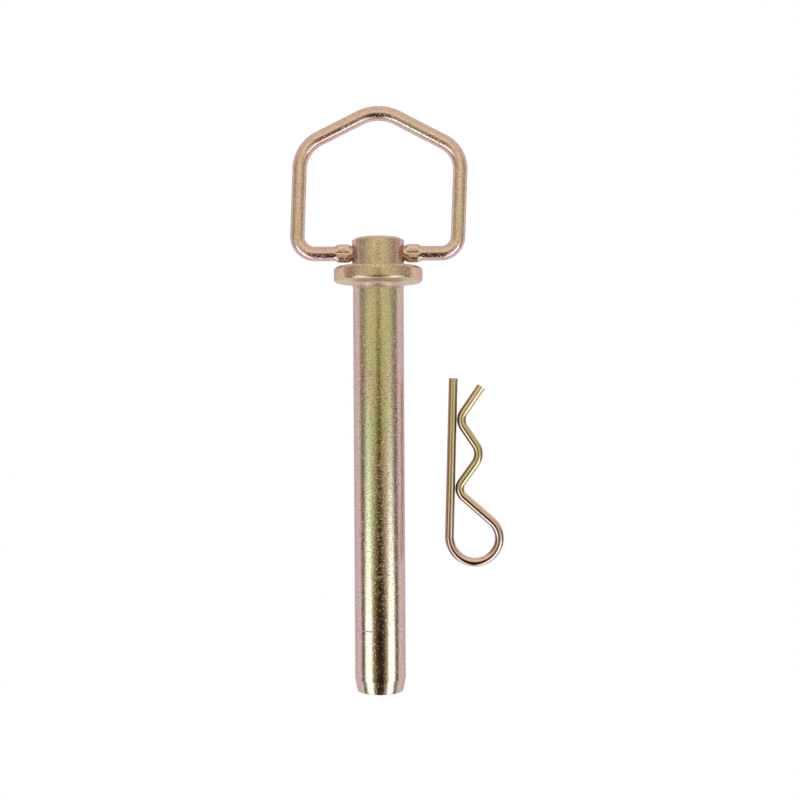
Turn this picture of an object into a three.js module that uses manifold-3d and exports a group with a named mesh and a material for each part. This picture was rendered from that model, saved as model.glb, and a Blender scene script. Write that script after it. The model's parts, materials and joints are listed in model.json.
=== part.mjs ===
// Swivel-handle hitch pin with its R-clip, lying flat with the clip beside the pin.
//
// Millimetres. +X runs across the pin towards the clip, +Y along the pin towards its head, and
// +Z up from the surface that the set lies on. The origin is on that surface, under the middle
// of the set's bounding box. The pin rests on its collar's rim and on its tip, so its axis
// rises slightly towards the head.

import * as THREE from 'three';
import { mergeVertices } from 'three/addons/utils/BufferGeometryUtils.js';
import Module from 'manifold-3d';

// ---- Pin. Heights along it are measured from the collar's underside, towards the head. ----
const SHANK_DIAMETER = 22.2;
const SHANK_LENGTH = 178.2;
const TIP_DIAMETER = 20.2;
const TIP_TAPER_LENGTH = 5.8;
const TIP_EDGE_RADIUS = 0.5;
const SHANK_FILLET = 2.6;
const COLLAR_DIAMETER = 38.9;
const COLLAR_THICKNESS = 6.4;
const COLLAR_EDGE_RADIUS = 1.5;
const BOSS_DIAMETER = 22.9;
const HEAD_HEIGHT = 19.45;
const BOSS_CHAMFER = 1.5;
const LATHE_SEGMENTS = 48;
const TIP_EDGE_STEPS = 2;
const FILLET_STEPS = 4;
const RIM_EDGE_STEPS = 3;

// ---- Cross-holes in the pin, both parallel to X ----
const HANDLE_HOLE_DIAMETER = 7.1;
const HANDLE_HOLE_HEIGHT = 12.85;
const CLIP_HOLE_DIAMETER = 6.6;
const CLIP_HOLE_HEIGHT = -165.6;
const HOLE_CHAMFER = 0.6;
const HOLE_SEGMENTS = 24;
const CUTTER_REACH = 4;

// ---- Handle: one bent wire. Its centreline starts and ends inside the boss, on the hinge
// axis, and y is the distance from that axis. Each corner is [x, y, bend radius]. ----
const HANDLE_WIRE_DIAMETER = 6.35;
const HANDLE_END_X = 3;
const HANDLE_CORNERS = [
  [-35.6, 0, 7.6],
  [-33.8, 46.4, 15.3],
  [0.6, 63.6, 18.4],
  [36.5, 44.8, 13.2],
  [34.8, 0, 7.6],
];
const HANDLE_STEPS = 104;

// ---- Crimps: the wire is swaged into two ears beside the boss, so it can't pull out ----
const CRIMP_GAP = 0.45;
const CRIMP_LENGTH = 7.3;
const CRIMP_WIDTH = 7.9;
const CRIMP_THICKNESS = 5.6;
const CRIMP_OVERLAP = 0.5;
const CRIMP_SEGMENTS = 12;

// ---- R-clip: one spring wire. Its straight leg runs from the origin along -y, then the bow
// turns back into the lobed leg. Each corner is [x, y, bend radius]. ----
const CLIP_WIRE_DIAMETER = 4;
const CLIP_START = [0, 0];
const CLIP_CORNERS = [
  [0, -78.65, 11.6],
  [15.95, -84.45, 11],
  [25.6, -69.3, 10.2],
  [2.75, -50.2, 4.7],
  [13.8, -33.7, 7.7],
  [3.05, -18.6, 5.8],
];
const CLIP_END = [12.7, -3.4];
const CLIP_CROWN = 0.46;
const CLIP_CROWN_GAP = 0.5;
const CLIP_STEPS = 50;
const WIRE_CURVE_SEGMENTS = 6;

// ---- Layout on the surface ----
const CLIP_LEG_LEAN = THREE.MathUtils.degToRad(-1.82);
const CLIP_X = 33.4;
const CLIP_Y = -41;

const WELD_TOLERANCE = 1e-4;

const shankRadius = SHANK_DIAMETER / 2;
const collarRadius = COLLAR_DIAMETER / 2;
const bossRadius = BOSS_DIAMETER / 2;

const wasm = await Module();
wasm.setup();

// ---- Materials: zinc plate with a yellow chromate finish ----
function yellowZinc(color, roughness) {
  return new THREE.MeshStandardMaterial({ color, roughness, metalness: 0.9 });
}

const pinMaterial = yellowZinc(0xc2ae86, 0.38);
const handleMaterial = yellowZinc(0xcbb090, 0.36);
const clipMaterial = yellowZinc(0xc4a268, 0.3);

// ---- Solids for joining and cutting ----
function toSolid(geometry) {
  const bare = geometry.clone();
  bare.deleteAttribute('normal');
  bare.deleteAttribute('uv');
  const merged = mergeVertices(bare, WELD_TOLERANCE);
  return new wasm.Manifold(new wasm.Mesh({
    numProp: 3,
    vertProperties: new Float32Array(merged.attributes.position.array),
    triVerts: new Uint32Array(merged.index.array),
  }));
}

function toGeometry(solid) {
  const mesh = solid.getMesh();
  const geometry = new THREE.BufferGeometry();
  geometry.setAttribute('position', new THREE.BufferAttribute(new Float32Array(mesh.vertProperties), 3));
  geometry.setIndex(new THREE.BufferAttribute(new Uint32Array(mesh.triVerts), 1));
  geometry.computeVertexNormals();
  return geometry;
}

// ---- Pin ----
function arcPoints(x, y, radius, startDegrees, endDegrees, steps) {
  const points = [];
  for (let i = 0; i <= steps; i += 1) {
    const angle = THREE.MathUtils.degToRad(startDegrees + ((endDegrees - startDegrees) * i) / steps);
    points.push(new THREE.Vector2(x + radius * Math.cos(angle), y + radius * Math.sin(angle)));
  }
  return points;
}

// Half section from the tip's centre to the head's centre, x being the distance from the axis.
function pinProfile() {
  const tip = -SHANK_LENGTH;
  const tipRadius = TIP_DIAMETER / 2;
  const rim = collarRadius - COLLAR_EDGE_RADIUS;
  const edge = COLLAR_EDGE_RADIUS;
  return [
    new THREE.Vector2(0, tip),
    ...arcPoints(
      tipRadius - TIP_EDGE_RADIUS,
      tip + TIP_EDGE_RADIUS,
      TIP_EDGE_RADIUS,
      -90,
      0,
      TIP_EDGE_STEPS,
    ),
    new THREE.Vector2(shankRadius, tip + TIP_TAPER_LENGTH),
    ...arcPoints(shankRadius + SHANK_FILLET, -SHANK_FILLET, SHANK_FILLET, 180, 90, FILLET_STEPS),
    ...arcPoints(rim, edge, edge, -90, 0, RIM_EDGE_STEPS),
    ...arcPoints(rim, COLLAR_THICKNESS - edge, edge, 0, 90, RIM_EDGE_STEPS),
    new THREE.Vector2(bossRadius, COLLAR_THICKNESS),
    new THREE.Vector2(bossRadius, HEAD_HEIGHT - BOSS_CHAMFER),
    new THREE.Vector2(bossRadius - BOSS_CHAMFER, HEAD_HEIGHT),
    new THREE.Vector2(0, HEAD_HEIGHT),
  ];
}

// A hole through the pin along X, chamfered where it meets a surface of the given radius.
function crossHoleCutter(diameter, height, surfaceRadius) {
  const radius = diameter / 2;
  const reach = surfaceRadius + CUTTER_REACH;
  const chamferFloor = surfaceRadius - HOLE_CHAMFER;
  const half = [
    new THREE.Vector2(radius, chamferFloor),
    new THREE.Vector2(radius + HOLE_CHAMFER, surfaceRadius),
    new THREE.Vector2(radius + HOLE_CHAMFER, reach),
    new THREE.Vector2(0, reach),
  ];
  const otherHalf = half.map((point) => new THREE.Vector2(point.x, -point.y)).reverse();
  const cutter = new THREE.LatheGeometry([...otherHalf, ...half], HOLE_SEGMENTS);
  cutter.rotateZ(Math.PI / 2);
  cutter.translate(0, height, 0);
  return toSolid(cutter);
}

// The lathe starts half a segment round, so that a flat facet faces down and another up.
function makePin() {
  const turned = new THREE.LatheGeometry(pinProfile(), LATHE_SEGMENTS, Math.PI / LATHE_SEGMENTS);
  const drilled = toSolid(turned)
    .subtract(crossHoleCutter(HANDLE_HOLE_DIAMETER, HANDLE_HOLE_HEIGHT, bossRadius))
    .subtract(crossHoleCutter(CLIP_HOLE_DIAMETER, CLIP_HOLE_HEIGHT, shankRadius));
  const pin = new THREE.Mesh(toGeometry(drilled), pinMaterial);
  pin.name = 'hitch_pin';
  return pin;
}

// ---- Bent wires ----
// A flat path through the corners, each rounded to its own radius.
function roundedPath(start, corners, end) {
  const path = new THREE.Path();
  path.moveTo(...start);
  corners.forEach(([x, y, radius], i) => {
    const corner = new THREE.Vector2(x, y);
    const previous = i === 0 ? start : corners[i - 1];
    const next = i === corners.length - 1 ? end : corners[i + 1];
    const back = new THREE.Vector2(previous[0], previous[1]).sub(corner).normalize();
    const onward = new THREE.Vector2(next[0], next[1]).sub(corner).normalize();
    const halfAngle = Math.acos(back.dot(onward)) / 2;
    const inward = back.clone().add(onward).normalize();
    const centre = corner.clone().addScaledVector(inward, radius / Math.sin(halfAngle));
    const from = corner.clone().addScaledVector(back, radius / Math.tan(halfAngle));
    const to = corner.clone().addScaledVector(onward, radius / Math.tan(halfAngle));
    path.lineTo(from.x, from.y);
    path.absarc(
      centre.x,
      centre.y,
      radius,
      Math.atan2(from.y - centre.y, from.x - centre.x),
      Math.atan2(to.y - centre.y, to.x - centre.x),
      back.cross(onward) > 0,
    );
  });
  path.lineTo(...end);
  return path;
}

// The stretch of a flat path between two fractions of its length, as a curve in the XY plane.
class Stretch extends THREE.Curve {
  constructor(path, first, last) {
    super();
    this.path = path;
    this.first = first;
    this.last = last;
  }

  getPoint(t, target = new THREE.Vector3()) {
    const point = this.path.getPoint(this.first + (this.last - this.first) * t);
    return target.set(point.x, point.y, 0);
  }
}

function sweepWire(curve, diameter, steps, curveSegments) {
  const section = new THREE.Shape().absarc(0, 0, diameter / 2, 0, 2 * Math.PI, false);
  return new THREE.ExtrudeGeometry(section, { steps, curveSegments, extrudePath: curve });
}

// ---- Handle ----
// One ear of a crimp: a flattened swelling on the given side of the wire, reaching half of
// CRIMP_OVERLAP past the wire's middle.
function crimpEar(x, side) {
  const ear = new THREE.SphereGeometry(1, CRIMP_SEGMENTS, CRIMP_SEGMENTS / 2);
  const halfWidth = CRIMP_WIDTH / 4 + CRIMP_OVERLAP / 2;
  ear.scale(CRIMP_LENGTH / 2, halfWidth, CRIMP_THICKNESS / 2);
  ear.translate(x, side * (CRIMP_WIDTH / 2 - halfWidth), 0);
  return toSolid(ear);
}

function makeHandle() {
  const path = roundedPath([-HANDLE_END_X, 0], HANDLE_CORNERS, [HANDLE_END_X, 0]);
  const wire = sweepWire(new Stretch(path, 0, 1), HANDLE_WIRE_DIAMETER, HANDLE_STEPS, WIRE_CURVE_SEGMENTS);
  const crimpX = bossRadius + CRIMP_GAP + CRIMP_LENGTH / 2;
  let solid = toSolid(wire);
  for (const x of [-crimpX, crimpX]) {
    for (const side of [-1, 1]) {
      solid = solid.add(crimpEar(x, side));
    }
  }
  const handle = new THREE.Mesh(toGeometry(solid), handleMaterial);
  handle.name = 'swivel_handle';
  handle.position.y = HANDLE_HOLE_HEIGHT;
  return handle;
}

// ---- R-clip ----
// The wire flexes all round its bow. It is parted at the bow's crown, with a small gap, so
// that the lobed leg can swing open about the crown.
function makeClip() {
  const path = roundedPath(CLIP_START, CLIP_CORNERS, CLIP_END);
  const halfGap = CLIP_CROWN_GAP / 2 / path.getLength();
  const legs = new THREE.Group();
  for (const [name, first, last] of [
    ['clip_straight_leg', 0, CLIP_CROWN - halfGap],
    ['clip_spring_leg', CLIP_CROWN + halfGap, 1],
  ]) {
    const curve = new Stretch(path, first, last);
    const leg = new THREE.Mesh(
      sweepWire(curve, CLIP_WIRE_DIAMETER, CLIP_STEPS, WIRE_CURVE_SEGMENTS),
      clipMaterial,
    );
    leg.name = name;
    legs.add(leg);
  }
  return legs;
}

// ---- Assembly ----
// The pin lies on the lower edge of its collar's rim and on the start of its tip's taper.
const facetFactor = Math.cos(Math.PI / LATHE_SEGMENTS);
const rimToTaper = COLLAR_EDGE_RADIUS + SHANK_LENGTH - TIP_TAPER_LENGTH;
const pinSlope = Math.atan(((collarRadius - shankRadius) * facetFactor) / rimToTaper);

const pinAndHandle = new THREE.Group();
pinAndHandle.add(makePin(), makeHandle());
pinAndHandle.rotation.x = pinSlope;
pinAndHandle.position.z =
  collarRadius * facetFactor * Math.cos(pinSlope) - COLLAR_EDGE_RADIUS * Math.sin(pinSlope);

const clip = makeClip();
clip.rotation.z = CLIP_LEG_LEAN;
clip.position.set(CLIP_X, CLIP_Y, CLIP_WIRE_DIAMETER / 2);

const group = new THREE.Group();
group.add(pinAndHandle, clip);
const box = new THREE.Box3().setFromObject(group, true);
group.position.set(-(box.min.x + box.max.x) / 2, -(box.min.y + box.max.y) / 2, -box.min.z);

export default group;
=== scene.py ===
"""A swivel-handle hitch pin and its R-clip in yellow-plated steel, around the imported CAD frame.

Lengths are metres in the frame's own axes: +Y along the pin towards its head, +X towards the clip, +Z up.
The pin's own axes are its cross direction (ACROSS), its axis towards the head (ALONG) and the
direction that faces up out of both (OUTWARD).
"""
import json
import math

import bmesh
import bpy
import numpy as np
from mathutils import Matrix, Vector


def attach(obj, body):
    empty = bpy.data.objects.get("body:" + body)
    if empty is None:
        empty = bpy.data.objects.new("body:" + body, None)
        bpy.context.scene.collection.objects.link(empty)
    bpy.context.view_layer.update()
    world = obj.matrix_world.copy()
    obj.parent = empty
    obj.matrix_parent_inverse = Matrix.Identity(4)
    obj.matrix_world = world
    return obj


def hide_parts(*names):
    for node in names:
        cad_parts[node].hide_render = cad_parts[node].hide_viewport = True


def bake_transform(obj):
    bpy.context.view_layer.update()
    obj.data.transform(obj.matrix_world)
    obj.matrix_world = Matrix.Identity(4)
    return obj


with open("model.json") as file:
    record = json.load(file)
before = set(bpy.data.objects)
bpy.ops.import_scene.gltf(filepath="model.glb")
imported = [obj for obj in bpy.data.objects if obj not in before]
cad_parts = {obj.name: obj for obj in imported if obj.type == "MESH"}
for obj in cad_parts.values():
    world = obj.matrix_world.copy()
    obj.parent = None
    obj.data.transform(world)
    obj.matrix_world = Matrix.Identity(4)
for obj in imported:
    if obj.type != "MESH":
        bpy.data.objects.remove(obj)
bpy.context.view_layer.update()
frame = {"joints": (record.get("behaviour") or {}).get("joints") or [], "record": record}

MM = 0.001

# ---- Pin. Heights along it are measured from the collar's underside, towards the head. ----
SHANK_RADIUS = 11.1 * MM
SHANK_LENGTH = 178.2 * MM
TIP_RADIUS = 10.1 * MM
TIP_TAPER_LENGTH = 5.8 * MM
SHANK_FILLET = 2.6 * MM
COLLAR_EDGE = 1.5 * MM
COLLAR_RADIUS = 19.45 * MM
COLLAR_THICKNESS = 6.7 * MM
BOSS_RADIUS = 11.45 * MM
HEAD_HEIGHT = 19.45 * MM
BOSS_CHAMFER = 1.5 * MM
HANDLE_HOLE_RADIUS = 3.55 * MM
CLIP_HOLE_RADIUS = 3.3 * MM
CLIP_HOLE_HEIGHT = -165.6 * MM
HOLE_CHAMFER = 0.6 * MM
CUTTER_REACH = 4 * MM
TAPER_BEAD = 0.02 * MM
END_FACE_CENTRE = 0.3 * MM
SOFT_EDGE = 0.5 * MM
PIN_SEGMENTS = 224
PIN_RING_STEP = 1.0 * MM

# ---- Bent wires. Each corner is [x, y, bend radius] in millimetres. ----
HANDLE_WIRE_RADIUS = 3.175 * MM
HANDLE_END_X = 3
HANDLE_CORNERS = [
    [-35.6, 0, 7.6],
    [-33.8, 46.4, 15.3],
    [0.6, 63.6, 18.4],
    [36.5, 44.8, 13.2],
    [34.8, 0, 7.6],
]
HANDLE_STEP = 0.45 * MM
HANDLE_SEGMENTS = 120
CRIMP_START = 11.75 * MM
CRIMP_LENGTH = 7.6 * MM
CRIMP_HALF_WIDTH = 3.9 * MM
CRIMP_HALF_HEIGHT = 2.95 * MM
CRIMP_SQUARENESS = 5
CRIMP_GROOVE = 0.16 * MM
CRIMP_GROOVE_WIDTH = 0.3 * MM
CLIP_WIRE_RADIUS = 2.0 * MM
CLIP_START = [0, 0]
CLIP_CORNERS = [
    [0, -78.65, 11.6],
    [15.95, -84.45, 11],
    [25.6, -69.3, 10.2],
    [2.5, -50.2, 4.7],
    [13.8, -33.7, 7.7],
    [2.9, -18.6, 5.8],
]
CLIP_END = [12.7, -3.4]
CLIP_CROWN = 0.46
CLIP_LEG_LEAN = math.radians(-1.82)
CLIP_STEP = 0.36 * MM
CLIP_SEGMENTS = 36
SHARP_ANGLE = math.radians(32)

# ---- Where things are, from the frame ----
joints = {joint["name"]: joint for joint in frame["joints"]}
seat = frame["record"]["mounts"][0]
PIVOT = Vector(joints["handle_swing"]["pos_m"])
CROWN = Vector(joints["clip_spread"]["pos_m"])
ACROSS = Vector((1, 0, 0))
ALONG = -Vector(seat["axis"]).normalized()
OUTWARD = ACROSS.cross(ALONG)
SEAT_CENTRE = PIVOT + ALONG * (Vector(seat["pos_m"]) - PIVOT).dot(ALONG)

# ---- Camera: square on to the pin's axis ----
CAMERA_DISTANCE = 514.5 * MM
CAMERA_AIM_ALONG = -51.33 * MM
CAMERA_AIM_ACROSS = 9.22 * MM
CAMERA_ROLL = 0.00574
CAMERA_LENS = 52.875
CAMERA_SENSOR_WIDTH = 36


def mesh_object(name, points, faces):
    mesh = bpy.data.meshes.new(name)
    mesh.from_pydata([tuple(p) for p in points], [], faces)
    mesh.validate()
    mesh.update()
    obj = bpy.data.objects.new(name, mesh)
    bpy.context.scene.collection.objects.link(obj)
    return obj


def tube(name, rings, start_centre, end_centre):
    """A closed skin over rings of points that all have the same count, with a fan at each end."""
    count = len(rings[0])
    points = [p for ring in rings for p in ring]
    faces = []
    for i in range(len(rings) - 1):
        for j in range(count):
            a = i * count + j
            b = i * count + (j + 1) % count
            faces.append((a, b, b + count, a + count))
    first = len(points)
    points += [start_centre, end_centre]
    last_ring = (len(rings) - 1) * count
    for j in range(count):
        k = (j + 1) % count
        faces.append((first, k, j))
        faces.append((first + 1, last_ring + j, last_ring + k))
    return mesh_object(name, points, faces)


def finish_shading(obj):
    """Faces that look outward, smooth but for the sharp edges."""
    shape = bmesh.new()
    shape.from_mesh(obj.data)
    bmesh.ops.recalc_face_normals(shape, faces=shape.faces)
    shape.to_mesh(obj.data)
    shape.free()
    obj.data.shade_smooth()
    obj.data.set_sharp_from_angle(angle=SHARP_ANGLE)


# ---- Pin ----
def arc(x, y, radius, start_degrees, end_degrees, steps):
    angles = np.radians(np.linspace(start_degrees, end_degrees, steps + 1))
    return [(x + radius * math.cos(a), y + radius * math.sin(a)) for a in angles]


def refine(profile, step):
    """The same outline with its long straight stretches divided."""
    fine = [profile[0]]
    for previous, point in zip(profile, profile[1:]):
        pieces = max(1, round(math.dist(previous, point) / step))
        for i in range(1, pieces + 1):
            fine.append(tuple(p + (q - p) * i / pieces for p, q in zip(previous, point)))
    return fine


def pin_profile():
    """(distance from the axis, height) from the tip's face to the head's face."""
    tip = -SHANK_LENGTH
    taper = tip + TIP_TAPER_LENGTH
    bead = SHANK_RADIUS + TAPER_BEAD
    rim = COLLAR_RADIUS - COLLAR_EDGE
    fillet = SHANK_RADIUS + SHANK_FILLET
    chamfer_round = 1.2 * MM
    points = [(END_FACE_CENTRE, tip)]
    points += arc(TIP_RADIUS - SOFT_EDGE, tip + SOFT_EDGE, SOFT_EDGE, -90, -8, 6)
    points += [(SHANK_RADIUS - 0.07 * MM, taper - 0.4 * MM), (bead, taper)]
    points += [(bead, taper + 0.2 * MM), (SHANK_RADIUS, taper + 0.5 * MM)]
    points += arc(fillet, -SHANK_FILLET, SHANK_FILLET, 180, 90, 14)
    points += arc(rim, COLLAR_EDGE, COLLAR_EDGE, -90, 0, 10)
    points += arc(rim, COLLAR_THICKNESS - COLLAR_EDGE, COLLAR_EDGE, 0, 90, 10)
    points += arc(BOSS_RADIUS + SOFT_EDGE, COLLAR_THICKNESS + SOFT_EDGE, SOFT_EDGE, -90, -180, 4)
    points += arc(BOSS_RADIUS - chamfer_round, HEAD_HEIGHT - BOSS_CHAMFER, chamfer_round, 0, 28, 4)
    points += arc(BOSS_RADIUS - 2.1 * MM, HEAD_HEIGHT - chamfer_round, chamfer_round, 60, 90, 4)
    points += [(END_FACE_CENTRE, HEAD_HEIGHT)]
    return points


def on_pin(across, outward, along):
    return SEAT_CENTRE + ACROSS * across + OUTWARD * outward + ALONG * along


def turned(name, profile, place):
    """A body of revolution; place(x, y, height) puts a point of it in the frame."""
    angles = np.linspace(0, 2 * math.pi, PIN_SEGMENTS, endpoint=False)
    rings = [
        [place(r * math.cos(a), r * math.sin(a), height) for a in angles] for r, height in profile
    ]
    return tube(name, rings, place(0, 0, profile[0][1]), place(0, 0, profile[-1][1]))


def cross_hole_cutter(name, radius, height, surface_radius):
    """A tool for a hole straight across the pin, with a chamfer where it leaves the surface."""
    reach = surface_radius + CUTTER_REACH
    floor = surface_radius - HOLE_CHAMFER
    half = [(radius, floor), (radius + HOLE_CHAMFER, surface_radius), (radius + HOLE_CHAMFER, reach)]
    profile = [(r, -h) for r, h in reversed(half)] + half
    return turned(name, profile, lambda x, y, h: on_pin(h, x, height + y))


def cut(obj, cutters):
    for cutter in cutters:
        step = obj.modifiers.new("cut", "BOOLEAN")
        step.operation = "DIFFERENCE"
        step.solver = "EXACT"
        step.object = cutter
    bpy.context.view_layer.update()
    evaluated = obj.evaluated_get(bpy.context.evaluated_depsgraph_get())
    mesh = bpy.data.meshes.new_from_object(evaluated)
    obj.modifiers.clear()
    obj.data = mesh
    for cutter in cutters:
        bpy.data.objects.remove(cutter)


def make_pin():
    pin = turned("pin_forging", refine(pin_profile(), PIN_RING_STEP), on_pin)
    handle_height = (PIVOT - SEAT_CENTRE).dot(ALONG)
    cut(pin, [
        cross_hole_cutter("handle_hole", HANDLE_HOLE_RADIUS, handle_height, BOSS_RADIUS),
        cross_hole_cutter("clip_hole", CLIP_HOLE_RADIUS, CLIP_HOLE_HEIGHT, SHANK_RADIUS),
    ])
    finish_shading(pin)
    return pin


# ---- Bent wires ----
def rounded_path(start, corners, end, step):
    """Points and unit tangents along a path of straights and arcs, from millimetres to metres."""
    ends = [np.array(start, float), *[np.array(c[:2], float) for c in corners], np.array(end, float)]
    points = []
    tangents = []

    def straight(a, b, with_end):
        pieces = max(1, round(np.linalg.norm(b - a) * MM / step))
        direction = (b - a) / np.linalg.norm(b - a)
        for i in range(pieces + with_end):
            points.append(a + (b - a) * i / pieces)
            tangents.append(direction)

    here = ends[0]
    for i, corner in enumerate(corners):
        radius = corner[2]
        back = (ends[i] - ends[i + 1]) / np.linalg.norm(ends[i] - ends[i + 1])
        onward = (ends[i + 2] - ends[i + 1]) / np.linalg.norm(ends[i + 2] - ends[i + 1])
        half = math.acos(np.clip(back @ onward, -1, 1)) / 2
        centre = ends[i + 1] + (back + onward) / np.linalg.norm(back + onward) * radius / math.sin(half)
        first = ends[i + 1] + back * radius / math.tan(half)
        straight(here, first, 0)
        turn = math.pi - 2 * half
        side = -math.copysign(1, back[0] * onward[1] - back[1] * onward[0])
        pieces = max(4, round(radius * turn * MM / step))
        spoke = first - centre
        for k in range(pieces):
            angle = side * turn * k / pieces
            c, s = math.cos(angle), math.sin(angle)
            arm = np.array([c * spoke[0] - s * spoke[1], s * spoke[0] + c * spoke[1]])
            points.append(centre + arm)
            tangents.append(side * np.array([-arm[1], arm[0]]) / radius)
        here = ends[i + 1] + onward * radius / math.tan(half)
    straight(here, ends[-1], 1)
    return np.array(points) * MM, np.array(tangents)


def sweep(name, points, tangents, section, place):
    """section(i) gives the ring's (sideways, upward) offsets at point i, and place puts a point."""
    rings = []
    for i, (point, tangent) in enumerate(zip(points, tangents)):
        side = np.array([tangent[1], -tangent[0]])
        rings.append([place(*(point + side * a), b) for a, b in section(i)])
    return tube(name, rings, place(*points[0], 0), place(*points[-1], 0))


def circle(radius, segments):
    angles = np.linspace(0, 2 * math.pi, segments, endpoint=False)
    return [(radius * math.cos(a), radius * math.sin(a)) for a in angles]


def smooth(t):
    """A soft step from 0 to 1."""
    t = min(max(t, 0.0), 1.0)
    return t * t * (3 - 2 * t)


def crimp_section(amount):
    """From a round wire (0) to one that is swaged between two flat-faced dies (1), with the fine
    groove that is left along the middle of each face."""
    ring = []
    for a, b in circle(1.0, HANDLE_SEGMENTS):
        width = abs(a / CRIMP_HALF_WIDTH) ** CRIMP_SQUARENESS
        height = abs(b / CRIMP_HALF_HEIGHT) ** CRIMP_SQUARENESS
        flat = (width + height) ** (-1 / CRIMP_SQUARENESS)
        groove = CRIMP_GROOVE * math.exp(-((a * flat / CRIMP_GROOVE_WIDTH) ** 2)) * abs(b)
        r = HANDLE_WIRE_RADIUS + (flat - groove - HANDLE_WIRE_RADIUS) * amount
        ring.append((a * r, b * r))
    return ring


def crimp_amount(t):
    """How far the wire is swaged at a fraction t of the crimp's length from the boss. It is part
    swaged already where the crimp starts, and eases out at the far end."""
    return smooth((t + 0.12) / 0.35) * smooth((1 - t) / 0.3)


def make_handle():
    points, tangents = rounded_path([-HANDLE_END_X, 0], HANDLE_CORNERS, [HANDLE_END_X, 0], HANDLE_STEP)

    def section(i):
        x, y = points[i]
        t = (abs(x) - CRIMP_START) / CRIMP_LENGTH
        beside_boss = abs(y) < 1 * MM
        return crimp_section(crimp_amount(t) if beside_boss and 0 < t < 1 else 0)

    def place(x, y, z):
        return PIVOT + ACROSS * x + ALONG * y + OUTWARD * z

    handle = sweep("handle_wire", points, tangents, section, place)
    finish_shading(handle)
    return handle


def make_clip():
    """The R-clip's one wire, as two stretches that meet face to face at the crown of its bow."""
    points, tangents = rounded_path(CLIP_START, CLIP_CORNERS, CLIP_END, CLIP_STEP)
    lengths = np.r_[0, np.cumsum(np.linalg.norm(np.diff(points, axis=0), axis=1))]
    crown = int(np.argmin(abs(lengths - CLIP_CROWN * lengths[-1])))
    turn = Matrix.Rotation(CLIP_LEG_LEAN, 3, "Z")
    origin = CROWN - turn @ Vector((*points[crown], 0))

    def place(x, y, z):
        return origin + turn @ Vector((x, y, z))

    ring = circle(CLIP_WIRE_RADIUS, CLIP_SEGMENTS)
    leg = sweep("clip_leg", points[: crown + 1], tangents[: crown + 1], lambda i: ring, place)
    lobes = sweep("clip_lobes", points[crown:], tangents[crown:], lambda i: ring, place)
    finish_shading(leg)
    finish_shading(lobes)
    return leg, lobes


pin = make_pin()
handle = make_handle()
clip_leg, clip_lobes = make_clip()

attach(pin, "pin")
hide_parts("hitch_pin")
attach(handle, "handle")
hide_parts("swivel_handle")
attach(clip_leg, "clip")
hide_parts("clip_straight_leg")
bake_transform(clip_lobes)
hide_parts("clip_spring_leg")


# ---- Material ----
class Nodes:
    """A short way to add and link the nodes of one tree."""

    def __init__(self, tree):
        self.tree = tree

    def add(self, kind, **settings):
        node = self.tree.nodes.new(kind)
        for key, value in settings.items():
            setattr(node, key, value)
        return node

    def set(self, node, socket, value):
        target = node.inputs[socket]
        if isinstance(value, bpy.types.NodeSocket):
            self.tree.links.new(value, target)
        else:
            target.default_value = value

    def math(self, operation, a, b=0.0):
        node = self.add("ShaderNodeMath", operation=operation)
        self.set(node, 0, a)
        self.set(node, 1, b)
        return node.outputs[0]

    def ramp(self, factor, stops):
        node = self.add("ShaderNodeValToRGB")
        elements = node.color_ramp.elements
        while len(elements) < len(stops):
            elements.new(0.5)
        for element, (position, color) in zip(elements, stops):
            element.position = position
            element.color = (*color, 1)
        self.set(node, "Fac", factor)
        return node.outputs["Color"]

    def mix(self, factor, a, b):
        node = self.add("ShaderNodeMix", data_type="RGBA")
        self.set(node, 0, factor)
        self.set(node, 6, a if isinstance(a, bpy.types.NodeSocket) else (*a, 1))
        self.set(node, 7, b if isinstance(b, bpy.types.NodeSocket) else (*b, 1))
        return node.outputs[2]

    def split(self, vector):
        node = self.add("ShaderNodeSeparateXYZ")
        self.set(node, 0, vector)
        return node.outputs

    def noise(self, vector, scale, detail=2.0, roughness=0.5):
        node = self.add("ShaderNodeTexNoise")
        self.set(node, "Vector", vector)
        self.set(node, "Scale", scale)
        self.set(node, "Detail", detail)
        self.set(node, "Roughness", roughness)
        return node.outputs["Fac"]

    def stretched(self, vector, scale):
        node = self.add("ShaderNodeMapping")
        self.set(node, "Vector", vector)
        self.set(node, "Scale", scale)
        return node.outputs["Vector"]

    def combined(self, x, y):
        node = self.add("ShaderNodeCombineXYZ")
        self.set(node, 0, x)
        self.set(node, 1, y)
        return node.outputs[0]

    def on_pin(self, place):
        """The pin's own across and along coordinates of a place."""
        distances = []
        for axis in (ACROSS, ALONG):
            node = self.add("ShaderNodeVectorMath", operation="DOT_PRODUCT")
            self.set(node, 0, place)
            self.set(node, 1, axis)
            distances.append(self.math("SUBTRACT", node.outputs["Value"], SEAT_CENTRE.dot(axis)))
        return distances

    def range(self, value, low, high, to_low=0.0, to_high=1.0):
        """A soft step from to_low, where the value is low, to to_high, where it is high."""
        node = self.add("ShaderNodeMapRange", interpolation_type="SMOOTHSTEP")
        names = ("Value", "From Min", "From Max", "To Min", "To Max")
        for name, setting in zip(names, (value, low, high, to_low, to_high)):
            self.set(node, name, setting)
        return node.outputs["Result"]


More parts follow.
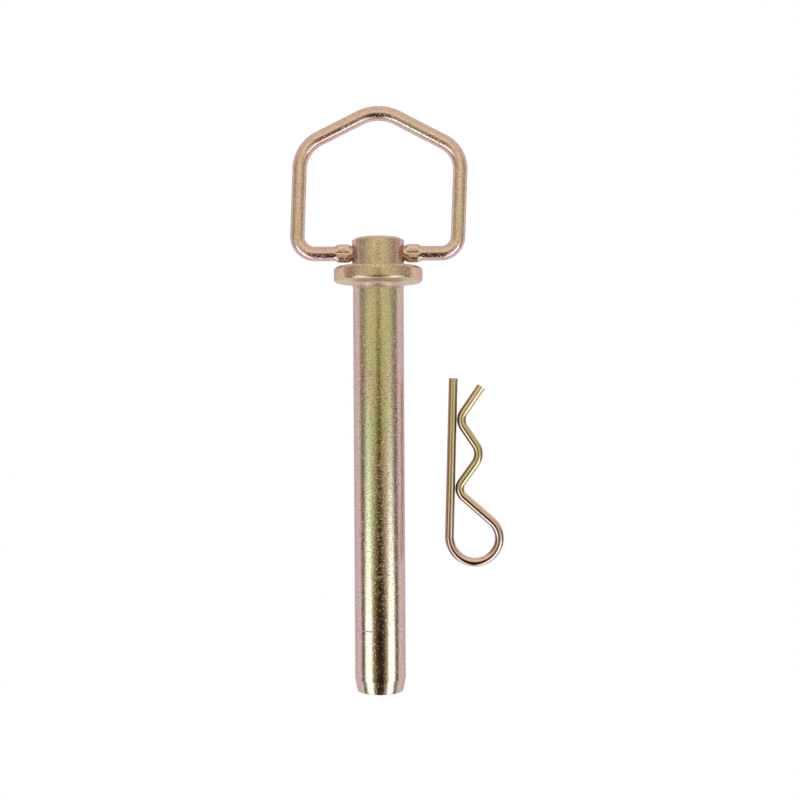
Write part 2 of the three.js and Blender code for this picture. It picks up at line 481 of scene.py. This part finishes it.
# The plating's film, as linear colours. A list of tones runs over the film's slow drift.
# The edge tint dims what the metal reflects at grazing angles: partly the film's own reflectance, partly
# painted shade standing in for the shaded floor beside the pieces.
GRAZING_TINT_AND_SHADE = (0.68, 0.62, 0.62)
FILLET_EDGE_TINT = (1, 1, 0.95)
STAIN = (0.3, 0.2, 0.12)
SCUFF = (0.46, 0.36, 0.22)
HEAD_TONES = [(0.0, (0.68, 0.42, 0.31)), (0.5, (0.68, 0.46, 0.31)), (1.0, (0.66, 0.5, 0.32))]
# Top and side tones of the pin: the film's own tone with painted sheen; the sides' pink stands in for the
# film's iridescence at grazing angles.
TOP_TONES_WITH_SHEEN = [(0.0, (0.68, 0.51, 0.36)), (0.45, (0.67, 0.52, 0.31)), (0.75, (0.66, 0.56, 0.3)),
             (1.0, (0.6, 0.57, 0.31))]
SIDE_TONES_WITH_SHEEN = [(0.0, (0.68, 0.45, 0.42)), (0.6, (0.67, 0.47, 0.4)), (1.0, (0.62, 0.49, 0.37))]
HANDLE_TONES = [(0.0, (0.7, 0.46, 0.37)), (0.6, (0.7, 0.49, 0.38)), (1.0, (0.66, 0.51, 0.36))]
CLIP_TONES = [(0.0, (0.72, 0.5, 0.36)), (0.4, (0.72, 0.54, 0.32)), (1.0, (0.66, 0.56, 0.29))]
# Painted shade for the clip's sides: it stands in for the shaded floor beside the wire, which the wire's
# edges reflect.
CLIP_PAINTED_SIDE_SHADE = (0.36, 0.22, 0.14)
CLIP_BOW = (0.74, 0.5, 0.4)
BOW_TONE_STARTS = CROWN.y + 40 * MM
BOW_TONE_FULL = CROWN.y + 12 * MM

# Each grain: the pits' size and depth, how deep the sparse specks are in pits' depths, the height
# of the slow waves, and how much of the stain's colour lies in the pits.
PIN_GRAIN = {"size": 0.62 * MM, "depth": 0.019 * MM, "specks": 3, "wave": 0.02 * MM, "stain": 0.5}
HANDLE_GRAIN = {"size": 0.7 * MM, "depth": 0.014 * MM, "specks": 6, "wave": 0.03 * MM, "stain": 0.35}
CLIP_GRAIN = {"size": 0.6 * MM, "depth": 0.005 * MM, "specks": 2, "wave": 0.01 * MM, "stain": 0.1}

# Roughness, from the shiniest to the dullest place.
PIN_GLOSS = (0.1, 0.17)
HANDLE_GLOSS = (0.14, 0.22)
CLIP_GLOSS = (0.08, 0.13)
FILLET_DULLNESS = 0.34
SCUFF_DULLNESS = 0.3

# Noise scales, per metre.
DRIFT_SCALE = 110
WIRE_DRIFT_SCALE = 75
WAVE_SCALE = 170
SMUDGE_SCALE = 300
RAGGED_SCALE = 2500

# Places along the pin.
FILLET_CENTRE = -1.2 * MM
FILLET_HALF_WIDTH = 2.6 * MM
TURNING_STARTS = -171.6 * MM
TURNING_FULL = -172.6 * MM
TURNING_PITCH = 0.9 * MM
ROUGHEST = -95 * MM
SMOOTHEST = -165 * MM
# Scuffs on the shank: (centre across and along, half size across and along, slant).
SCUFFS = [
    ((0.6, -127.2), (5.6, 0.5), 0.16),
    ((-5, -150.7), (2.6, 0.4), 0.0),
    ((-3.6, -39.8), (0.9, 1.5), 0.0),
    ((4.1, -15.3), (0.5, 0.5), 0.0),
]


def new_finish(name):
    material = bpy.data.materials.new(name)
    material.use_nodes = True
    shader = material.node_tree.nodes["Principled BSDF"]
    shader.inputs["Metallic"].default_value = 1
    shader.inputs["Specular Tint"].default_value = (*GRAZING_TINT_AND_SHADE, 1)
    return material, Nodes(material.node_tree), shader


def skin(n, shader, place, grain, extra_height=0.0):
    """Fine pits, sparse specks and soft waves that break up what the metal reflects."""
    pits = n.range(n.noise(place, 1 / grain["size"], 3.0, 0.6), 0.36, 0.64)
    specks = n.range(n.noise(place, 0.9 / grain["size"], 1.0), 0.6, 0.74, 0.0, grain["specks"])
    rough_skin = n.add("ShaderNodeBump")
    n.set(rough_skin, "Distance", grain["depth"])
    n.set(rough_skin, "Height", n.math("ADD", n.math("SUBTRACT", pits, specks), extra_height))
    wave = n.add("ShaderNodeBump")
    n.set(wave, "Distance", grain["wave"])
    n.set(wave, "Height", n.noise(place, WAVE_SCALE, 1.0))
    n.set(wave, "Normal", rough_skin.outputs["Normal"])
    n.set(shader, "Normal", wave.outputs["Normal"])
    return pits, rough_skin


def stained(n, film, pits, grain):
    """The film with stains in the bottoms of its pits."""
    return n.mix(n.range(pits, 0.4, 0.1, 0.0, grain["stain"]), film, STAIN)


def smudged(n, place, gloss):
    """Roughness that varies between the two ends of a gloss."""
    return n.range(n.noise(place, SMUDGE_SCALE, 3.0), 0.3, 0.7, *gloss)


def clip_film_and_painted_shade(n, coordinates, film):
    """The clip's film turns pinker towards the bow. Painted shade darkens the sides that face the pin, and
    the far sides too where the wire runs straight along Y."""
    height = n.split(coordinates.outputs["Object"])[1]
    film = n.mix(n.range(height, BOW_TONE_STARTS, BOW_TONE_FULL), film, CLIP_BOW)
    across, along, _ = n.split(coordinates.outputs["Normal"])
    # Painted shade on the sides that face the pin, and on the far sides of the straight runs.
    near_side_shade = n.range(across, -0.4, -0.62)
    straight = n.range(n.math("ABSOLUTE", along), 0.4, 0.2)
    far_side_shade = n.math("MULTIPLY", n.range(across, 0.4, 0.62), straight)
    return n.mix(n.math("MAXIMUM", near_side_shade, far_side_shade), film, CLIP_PAINTED_SIDE_SHADE)


def wire_finish(name, tones, grain, gloss, recolour=None):
    """Yellow-plated wire: the film's tone drifts along it, and stains lie in its pits."""
    material, n, shader = new_finish(name)
    coordinates = n.add("ShaderNodeTexCoord")
    place = coordinates.outputs["Object"]
    pits, _ = skin(n, shader, place, grain)
    film = n.ramp(n.range(n.noise(place, WIRE_DRIFT_SCALE, 1.0), 0.32, 0.68), tones)
    if recolour:
        film = recolour(n, coordinates, film)
    n.set(shader, "Base Color", stained(n, film, pits, grain))
    n.set(shader, "Roughness", smudged(n, place, gloss))
    return material


def mark(n, across, along, centre, size, slant):
    """1 on a small scuff with a ragged edge, at (across, along) in millimetres on the pin."""
    ragged = n.noise(n.combined(across, along), RAGGED_SCALE, 2.0)
    x = n.math("DIVIDE", n.math("SUBTRACT", across, centre[0] * MM), size[0] * MM)
    leaning = n.math("SUBTRACT", along, n.math("MULTIPLY", across, slant))
    y = n.math("DIVIDE", n.math("SUBTRACT", leaning, centre[1] * MM), size[1] * MM)
    distance = n.math("ADD", n.math("MULTIPLY", x, x), n.math("MULTIPLY", y, y))
    return n.range(n.math("ADD", distance, n.math("MULTIPLY", ragged, 3.0)), 2.6, 1.9)


def pin_film_and_painted_sheen(n, coordinates, along):
    """Yellow-green where the pin faces up and pink round its sides, set by which way the surface faces:
    partly the film's own tone, partly painted sheen standing in for the film's iridescence and reflections
    at grazing angles. More orange on the collar.
    """
    stretched = n.stretched(coordinates.outputs["Object"], (1, 0.35, 1))
    drift = n.range(n.noise(stretched, DRIFT_SCALE, 2.0), 0.3, 0.7)
    # Painted sheen: pink where the surface faces sideways, yellow-green where it faces up.
    facing = n.math("ABSOLUTE", n.split(coordinates.outputs["Normal"])[0])
    painted_sheen_sides = n.range(n.math("ADD", facing, n.math("MULTIPLY", drift, 0.1)), 0.6, 0.8)
    film = n.mix(painted_sheen_sides, n.ramp(drift, TOP_TONES_WITH_SHEEN), n.ramp(drift, SIDE_TONES_WITH_SHEEN))
    collar = n.range(along, -2 * MM, 2 * MM)
    below_boss = n.range(along, 6 * MM, 8 * MM, 0.85, 0.2)
    return n.mix(n.math("MULTIPLY", collar, below_boss), film, n.ramp(drift, HEAD_TONES))


def pin_finish():
    """The plated forging: finely pitted, duller in the fillet and smoother towards the tip, with
    turning marks on the tip and a few scuffs."""
    material, n, shader = new_finish("pin_plate_with_painted_sheen")
    coordinates = n.add("ShaderNodeTexCoord")
    place = coordinates.outputs["Object"]
    across, along = n.on_pin(place)

    turned_marks = n.math("SINE", n.math("MULTIPLY", along, 2 * math.pi / TURNING_PITCH))
    on_tip = n.range(along, TURNING_STARTS, TURNING_FULL, 0.0, 0.35)
    pits, rough_skin = skin(n, shader, place, PIN_GRAIN, n.math("MULTIPLY", turned_marks, on_tip))
    n.set(rough_skin, "Strength", n.range(along, SMOOTHEST, ROUGHEST, 0.55, 1.0))

    scuffed = 0.0
    for centre, size, slant in SCUFFS:
        scuffed = n.math("MAXIMUM", scuffed, mark(n, across, along, centre, size, slant))
    film = stained(n, pin_film_and_painted_sheen(n, coordinates, along), pits, PIN_GRAIN)
    n.set(shader, "Base Color", n.mix(scuffed, film, SCUFF))

    from_fillet = n.math("ABSOLUTE", n.math("SUBTRACT", along, FILLET_CENTRE))
    fillet = n.range(from_fillet, FILLET_HALF_WIDTH, 1 * MM, 0.0, FILLET_DULLNESS)
    dull = n.math("ADD", fillet, n.math("MULTIPLY", scuffed, SCUFF_DULLNESS))
    n.set(shader, "Roughness", n.math("ADD", smudged(n, place, PIN_GLOSS), dull))
    n.set(shader, "Specular Tint", n.mix(n.math("MULTIPLY", fillet, 3.0), GRAZING_TINT_AND_SHADE, FILLET_EDGE_TINT))
    return material


def wear(piece, finish):
    piece.data.materials.clear()
    piece.data.materials.append(finish)


clip_plate_with_shade = wire_finish("clip_plate_with_painted_shade", CLIP_TONES, CLIP_GRAIN, CLIP_GLOSS, clip_film_and_painted_shade)
wear(pin, pin_finish())
wear(handle, wire_finish("handle_plate_finish", HANDLE_TONES, HANDLE_GRAIN, HANDLE_GLOSS))
wear(clip_leg, clip_plate_with_shade)
wear(clip_lobes, clip_plate_with_shade)


# ---- Floor and studio ----
def emitter(name, color, strength):
    material = bpy.data.materials.new(name)
    material.use_nodes = True
    n = Nodes(material.node_tree)
    material.node_tree.nodes.remove(material.node_tree.nodes["Principled BSDF"])
    emission = n.add("ShaderNodeEmission")
    n.set(emission, "Color", color)
    n.set(emission, "Strength", strength)
    output = material.node_tree.nodes["Material Output"]
    n.set(output, "Surface", emission.outputs["Emission"])
    return material, n, emission


# The floor lies just under the resting pieces, and glows so that it comes out plain white.
FLOOR_HALF_SIZE = 4
FLOOR_HEIGHT = -0.05 * MM
FLOOR_COLOR = (1, 1, 1.09, 1)


def make_floor():
    signs = ((-1, -1), (1, -1), (1, 1), (-1, 1))
    corners = [(x * FLOOR_HALF_SIZE, y * FLOOR_HALF_SIZE, FLOOR_HEIGHT) for x, y in signs]
    floor = mesh_object("floor", corners, [(0, 1, 2, 3)])
    material, _, _ = emitter("white_floor", FLOOR_COLOR, 1.0)
    floor.data.materials.append(material)


# The studio is a tunnel of light along Y, seen only in reflections. Each entry is a place along it
# (its Y in metres) and the light round its wall, as (degrees from overhead, red, green, blue), the
# same on both sides. It is nearly even far beyond the head; towards the tip a dark slot runs
# overhead between two bright side panels.
TENT_RADIUS = 0.6
TENT_HALF_LENGTH = 2.5
TENT_END_HEIGHT = 0.2
TENT_REACH_DEGREES = 92
TENT_SIDES = 48
TENT_STRENGTH = 4.0
TENT_OFFSET = 0.012
TENT_LIGHT = [
    (0.5, [(0, 0.95, 0.92, 0.88), (60, 0.9, 0.88, 0.85), (90, 0.7, 0.68, 0.65)]),
    (0.19, [(0, 1.2, 1.2, 1.02), (12, 1.25, 1.24, 1.05), (28, 0.8, 0.8, 0.7), (47, 0.52, 0.5, 0.44),
            (68, 0.5, 0.46, 0.4), (90, 0.55, 0.5, 0.46)]),
    (0.09, [(0, 0.4, 0.36, 0.22), (6, 0.6, 0.6, 0.38), (15, 0.92, 0.97, 0.6), (30, 0.75, 0.8, 0.58),
            (42, 0.76, 0.84, 0.68), (60, 0.52, 0.52, 0.46), (78, 0.4, 0.37, 0.34), (90, 0.36, 0.33, 0.3)]),
    (0.01, [(0, 0.11, 0.08, 0.03), (5, 0.16, 0.12, 0.05), (9, 0.5, 0.46, 0.28), (15, 0.8, 0.78, 0.56),
            (28, 0.68, 0.7, 0.48), (46, 0.86, 0.96, 0.88), (60, 0.5, 0.52, 0.47),
            (75, 0.28, 0.26, 0.23), (90, 0.25, 0.21, 0.18)]),
    (-0.058, [(0, 0.08, 0.06, 0.03), (6, 0.1, 0.08, 0.04), (11, 0.42, 0.38, 0.26), (16, 0.75, 0.74, 0.55),
              (26, 0.64, 0.67, 0.48), (43, 0.9, 1.0, 0.95), (53, 0.95, 1.1, 1.1),
              (62, 0.45, 0.5, 0.48), (75, 0.22, 0.2, 0.18), (90, 0.2, 0.16, 0.14)]),
    (-0.133, [(0, 0.045, 0.035, 0.02), (9, 0.05, 0.04, 0.03), (18, 0.42, 0.38, 0.25),
              (30, 0.6, 0.62, 0.48), (40, 0.85, 1.0, 0.9), (44, 1.6, 2.0, 2.3), (58, 1.7, 2.15, 2.6),
              (66, 0.3, 0.3, 0.27), (75, 0.13, 0.11, 0.1), (90, 0.13, 0.1, 0.1)]),
    (-0.215, [(0, 0.025, 0.02, 0.022), (13, 0.035, 0.03, 0.03), (22, 0.24, 0.18, 0.1),
              (32, 0.5, 0.45, 0.38), (36, 0.85, 0.9, 1.0), (39, 2.2, 2.7, 3.6), (65, 2.2, 2.7, 3.6),
              (71, 0.35, 0.35, 0.42), (79, 0.16, 0.13, 0.16), (90, 0.16, 0.11, 0.14)]),
]


def tent_ramp(n, tilt, stops):
    """The light round the wall, for an emission that multiplies it by TENT_STRENGTH."""
    scaled = [(degrees / 90, [c / TENT_STRENGTH for c in color]) for degrees, *color in stops]
    return n.ramp(tilt, scaled)


def tent_finish():
    material, n, emission = emitter("tent_light", (0, 0, 0, 1), TENT_STRENGTH)
    x, y, z = n.split(n.add("ShaderNodeNewGeometry").outputs["Position"])
    from_pin = n.math("ABSOLUTE", n.math("SUBTRACT", x, SEAT_CENTRE.x + TENT_OFFSET))
    tilt = n.math("DIVIDE", n.math("ARCTAN2", from_pin, z), math.pi / 2)
    light = tent_ramp(n, tilt, TENT_LIGHT[0][1])
    for (previous_y, _), (zone_y, stops) in zip(TENT_LIGHT, TENT_LIGHT[1:]):
        light = n.mix(n.range(y, zone_y, previous_y, 1, 0), light, tent_ramp(n, tilt, stops))
    n.set(emission, "Color", light)
    return material


def make_tent():
    angles = np.radians(np.linspace(-TENT_REACH_DEGREES, TENT_REACH_DEGREES, TENT_SIDES))
    wall = [(TENT_RADIUS * math.sin(a), TENT_RADIUS * math.cos(a)) for a in angles]
    ends = (-TENT_HALF_LENGTH, TENT_HALF_LENGTH)
    rings = [[(x, y, z) for x, z in wall] for y in ends]
    tent = tube("tent", rings, *[(0, y, TENT_END_HEIGHT) for y in ends])
    tent.data.materials.append(tent_finish())
    tent.visible_camera = False
    tent.visible_shadow = False


def make_world():
    world = bpy.data.worlds.new("studio")
    world.use_nodes = True
    world.node_tree.nodes["Background"].inputs["Color"].default_value = (1, 1, 1, 1)
    bpy.context.scene.world = world


def make_camera():
    aim = on_pin(CAMERA_AIM_ACROSS, 0, CAMERA_AIM_ALONG)
    right = (ACROSS - ALONG * CAMERA_ROLL).normalized()
    up = OUTWARD.cross(right)
    turn = Matrix((right, up, OUTWARD)).transposed().to_4x4()
    data = bpy.data.cameras.new("camera")
    data.sensor_width = CAMERA_SENSOR_WIDTH
    data.lens = CAMERA_LENS
    camera = bpy.data.objects.new("camera", data)
    camera.matrix_world = Matrix.Translation(aim + OUTWARD * CAMERA_DISTANCE) @ turn
    bpy.context.scene.collection.objects.link(camera)
    bpy.context.scene.camera = camera
    bpy.context.scene.view_settings.view_transform = "Standard"


make_floor()
make_tent()
make_world()
make_camera()
